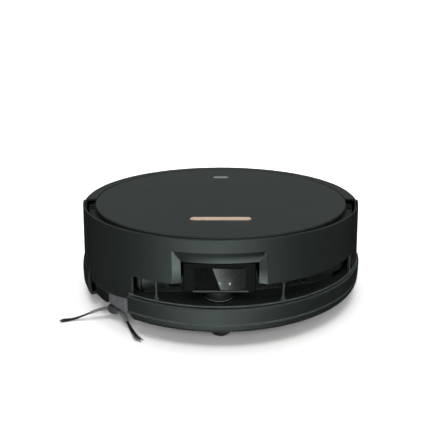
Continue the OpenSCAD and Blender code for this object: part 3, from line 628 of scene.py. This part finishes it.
def join_rings(bm, rings, closed_ends=True):
    """Skins a list of rings of points that all have the same count."""
    made = [[bm.verts.new(p) for p in ring] for ring in rings]
    count = len(made[0])
    for near, far in zip(made, made[1:]):
        for i in range(count):
            k = (i + 1) % count
            bm.faces.new((near[i], near[k], far[k], far[i]))
    if closed_ends:
        bm.faces.new(made[0][::-1])
        bm.faces.new(made[-1])


def add_tube(bm, path, radii, sides=5):
    rings = []
    for i, point in enumerate(path):
        ahead = path[min(i + 1, len(path) - 1)] - path[max(i - 1, 0)]
        ahead.normalize()
        across = ahead.orthogonal().normalized()
        other = ahead.cross(across)
        ring = []
        for k in range(sides):
            turn = 2 * math.pi * k / sides
            ring.append(point + (across * math.cos(turn) + other * math.sin(turn)) * radii[i])
        rings.append(ring)
    join_rings(bm, rings)


# ------------------------------------------------------------------ side brush

hub_low, hub_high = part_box("side_brush_hub")
HUB = Vector(((hub_low.x + hub_high.x) / 2, (hub_low.y + hub_high.y) / 2, 0.0))
ARM_TURNS = (190.5, 303.6, 68)
REACH = 61.6
ARM_END = 27.8


def droop(s):
    """Height of an arm's middle line: level at the hub, then a soft fall to the floor."""
    share = min(1.0, max(0.0, (s - 11) / 41))
    return 10.6 - 9.7 * share * share * (3 - 2 * share)


def brush_point(turn, s, side, height):
    """Point beside an arm: distance from the hub, sideways offset and height, in mm."""
    a = math.radians(turn)
    out = Vector((math.cos(a), math.sin(a), 0.0))
    across = Vector((-math.sin(a), math.cos(a), 0.0))
    return HUB + (out * s + across * side) * MM + Vector((0, 0, height * MM))


def rounded_section(turn, s, half, thick, height, hollow=0.0):
    """Flattened oval across an arm, slightly hollowed along the top."""
    ring = []
    for k in range(16):
        c, d = math.cos(2 * math.pi * k / 16), math.sin(2 * math.pi * k / 16)
        side = half * math.copysign(abs(c) ** 0.6, c)
        lift = thick * math.copysign(abs(d) ** 0.75, d)
        if d > 0:
            lift -= hollow * (1 - abs(c))
        ring.append(brush_point(turn, s, side, height + lift))
    return ring


def make_side_brush():
    arms = bmesh.new()
    for turn in ARM_TURNS:
        rings = []
        for step in range(25):
            s = 9.0 + (ARM_END - 9.0) * step / 24
            share = (s - 9.0) / (ARM_END - 9.0)
            rib = 0.3 * math.sin(math.pi * (s - 9) / 1.8) ** 2 if 11 < s < ARM_END - 3 else 0.0
            swell = 0.35 * math.exp(-((s - ARM_END + 1.6) / 1.1) ** 2)
            half = 3.4 - 1.3 * share + swell
            rings.append(rounded_section(turn, s, half, 1.0 + rib * 0.4 + swell * 0.3, droop(s), 0.35))
        join_rings(arms, rings)
    finish_piece("side_brush_arm_set", arms, "side_brush", "soft_rubber", ["side_brush_arms"])

    tufts = bmesh.new()
    draw = random.Random(11)
    strands = 9
    for turn in ARM_TURNS:
        for strand in range(strands):
            lane = -1 + 2 * strand / (strands - 1)
            stray = draw.uniform(-0.5, 0.5)
            reach = REACH - draw.uniform(0, 4) - 2 * lane * lane
            for count in range(7):
                end = reach - draw.uniform(0, 2.0)
                layer = draw.uniform(-1, 1)
                path = []
                for step in range(8):
                    t = step / 7
                    s = ARM_END - 1.4 + (end - ARM_END + 1.4) * t
                    spread = 1.1 + 2.7 * t ** 1.8
                    side = lane * spread + stray * t * t + draw.uniform(-0.12, 0.12)
                    side = max(-3.9, min(3.9, side))
                    height = droop(s) + layer * (0.5 - 0.2 * t) + 0.5 * stray * t * t
                    path.append(brush_point(turn, s, side, max(height, 0.55)))
                add_tube(tufts, path, [0.15 * MM - 0.06 * MM * i / 7 for i in range(8)], 4)
    finish_piece("side_brush_tufts", tufts, "side_brush", "bristle", ["side_brush_bristles"])


# ------------------------------------------------------------------ camera lens

def make_lens():
    """Domed lens in the camera's barrel with a small lit catch-light low on it."""
    low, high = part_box("camera_module")
    centre = Vector((8.7, 0.0, 59.4)) * MM
    front = low.y
    glass = bmesh.new()
    rings = []
    for step in range(13):
        turn = math.pi / 2 * step / 12
        radius, out = 3.5 * math.cos(turn) + 0.05, 1.5 * math.sin(turn)
        rings.append([
            Vector((
                centre.x + radius * math.cos(2 * math.pi * k / 40) * MM,
                front + (1.8 - out) * MM,
                centre.z + radius * math.sin(2 * math.pi * k / 40) * MM,
            ))
            for k in range(40)
        ])
    join_rings(glass, rings)
    finish_piece("camera_lens", glass, "chassis", "lens_glass")
    spot = bmesh.new()
    rings = []
    for radius, out in ((1.15, 0.0), (1.1, 0.25), (0.85, 0.45), (0.45, 0.58), (0.05, 0.6)):
        rings.append([
            Vector((
                centre.x + (0.1 + radius * math.cos(2 * math.pi * k / 24)) * MM,
                front - (0.05 + out) * MM,
                centre.z - (2.0 - radius * math.sin(2 * math.pi * k / 24)) * MM,
            ))
            for k in range(24)
        ])
    join_rings(spot, rings)
    finish_piece("lens_catchlight", spot, "chassis", "lens_glass", look=catchlight)


# ------------------------------------------------------------------ roller brush

core_low, core_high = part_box("main_brush_core")
fins_low, fins_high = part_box("main_brush_fins")
ROLLER = Vector((0.0, (core_low.y + core_high.y) / 2, (core_low.z + core_high.z) / 2))
ROLLER_HALF = fins_high.x / MM
ROLLER_R = 19.1
TWIST = 40


def roller_point(x, radius, angle):
    a = math.radians(angle)
    return ROLLER + Vector((x, radius * math.cos(a), radius * math.sin(a))) * MM


def chevron(x):
    return TWIST * abs(x) / ROLLER_HALF


def make_roller_brush():
    fins = bmesh.new()
    stations = 49
    for i in range(3):
        rings = []
        for step in range(stations):
            x = -ROLLER_HALF + 2 * ROLLER_HALF * step / (stations - 1)
            base = 10 + 120 * i + chevron(x)
            section = [
                (8.9, -1.3), (10.5, -0.95), (13.5, -0.75), (16.5, -0.65), (18.6, -0.55), (ROLLER_R, -0.2),
                (ROLLER_R, 0.25), (18.6, 0.6), (16.5, 0.65), (13.5, 0.75), (10.5, 0.95), (8.9, 1.3)
            ]
            ring = []
            for radius, side in section:
                lean = 0.35 * (radius - 9)
                ring.append(roller_point(x, radius, base + lean + math.degrees(side / radius)))
            rings.append(ring)
        join_rings(fins, rings)
    finish_piece("roller_blades", fins, "roller_brush", "soft_rubber", ["main_brush_fins"])

    rows = bmesh.new()
    draw = random.Random(5)
    for i in range(3):
        x = -ROLLER_HALF + 1.2
        while x < ROLLER_HALF - 1.2:
            for _ in range(4):
                base = 70 + 120 * i + chevron(x) + draw.uniform(-3.5, 3.5)
                at = x + draw.uniform(-0.5, 0.5)
                tip = ROLLER_R - draw.uniform(0.0, 1.2)
                lean = draw.uniform(-4, 4)
                path = [
                    roller_point(at, 8.9, base),
                    roller_point(at, 13.5, base + lean * 0.4),
                    roller_point(at, tip, base + lean),
                ]
                add_tube(rows, path, [0.16 * MM, 0.14 * MM, 0.1 * MM], 3)
            x += 1.5
    finish_piece("roller_bristles", rows, "roller_brush", "bristle")


# ------------------------------------------------------------------ mop sleeve

sleeve_low, sleeve_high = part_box("mop_sleeve")


def make_mop_sleeve():
    middle = (sleeve_low + sleeve_high) / 2
    outer = (sleeve_high.z - sleeve_low.z) / 2 / MM
    half = (sleeve_high.x - sleeve_low.x) / 2 / MM
    bm = bmesh.new()
    around, along = 132, 240
    rings = []
    bore = 14.2
    turns = [2 * math.pi * k / around for k in range(around)]
    inner = [middle + Vector((-half, bore * math.cos(t), bore * math.sin(t))) * MM for t in turns]
    rings.append(inner)
    for step in range(along + 1):
        x = -half + 2 * half * step / along
        shoulder = min(1.0, (half - abs(x)) / 2.5)
        ring = []
        for t in turns:
            seam = ((x / 26 + t / (2 * math.pi)) % 1.0)
            groove = 0.5 * math.exp(-((seam - 0.5) * 22) ** 2)
            fluff = noise.noise(Vector((x * 0.9, math.cos(t) * 18, math.sin(t) * 18)))
            fine = noise.noise(Vector((x * 2.6, math.cos(t) * 55, math.sin(t) * 55)))
            radius = outer - 0.55 + 0.3 * fluff + 0.2 * fine - groove
            radius = min(radius, outer - 0.02) - 1.6 * (1 - math.sqrt(max(0.0, 1 - (1 - shoulder) ** 2)))
            ring.append(middle + Vector((x, radius * math.cos(t), radius * math.sin(t))) * MM)
        rings.append(ring)
    rings.append([p + Vector((2 * half, 0, 0)) * MM for p in inner])
    join_rings(bm, rings, closed_ends=False)
    ends = list(bm.verts)
    first, last = ends[:around], ends[-around:]
    for k in range(around):
        bm.faces.new((first[(k + 1) % around], first[k], last[k], last[(k + 1) % around]))
    finish_piece("mop_fabric_sleeve", bm, "mop_roller", "mop_fabric", ["mop_sleeve"])


# ------------------------------------------------------------------ battery

def make_battery():
    low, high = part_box("battery_pack")
    size = (high - low) / MM
    bm = bmesh.new()
    rings = []
    outline = 120
    for step in range(41):
        x = size.x * step / 40
        edge = min(x, size.x - x)
        pinch = 1 - 0.12 * math.exp(-edge / 0.8)
        waist = 1 - 0.015 * math.exp(-((x - size.x / 2) / 2.0) ** 2)
        ring = []
        for k in range(outline):
            t = 2 * math.pi * k / outline
            c, d = math.cos(t), math.sin(t)
            bulge_y = abs(c) ** 0.28 * math.copysign(1, c)
            bulge_z = abs(d) ** 0.28 * math.copysign(1, d)
            dip = 1 - 0.05 * math.exp(-(bulge_y * 4.2) ** 2) * abs(d)
            dip -= 0.05 * math.exp(-(bulge_z * 4.2) ** 2) * abs(c)
            ring.append(Vector((
                low.x + x * MM,
                low.y + (size.y / 2 + bulge_y * size.y / 2 * dip * pinch * waist) * MM,
                low.z + (size.z / 2 + bulge_z * size.z / 2 * dip * pinch * waist) * MM,
            )))
        rings.append(ring)
    join_rings(bm, rings)
    finish_piece("battery_wrap", bm, "chassis", "cell_wrap", ["battery_pack"])


bpy.context.scene.view_settings.view_transform = "Standard"
add_camera()
add_world()
add_floor()
add_area_light("front_fill", (0.0, -1.9, 1.1), (0.0, -0.1, 0.05), (1.3, 0.7), 14.0)
add_area_light("top", (0.0, 0.1, 1.7), (0.0, 0.0, 0.0), (1.6, 1.6), 40.0)
add_area_light("backdrop_light", (0.0, 1.0, 1.5), (0.0, 3.0, 0.3), (2.2, 0.6), 60.0)
paint_nodes()
make_side_brush()
make_roller_brush()
make_mop_sleeve()
make_battery()
make_lens()
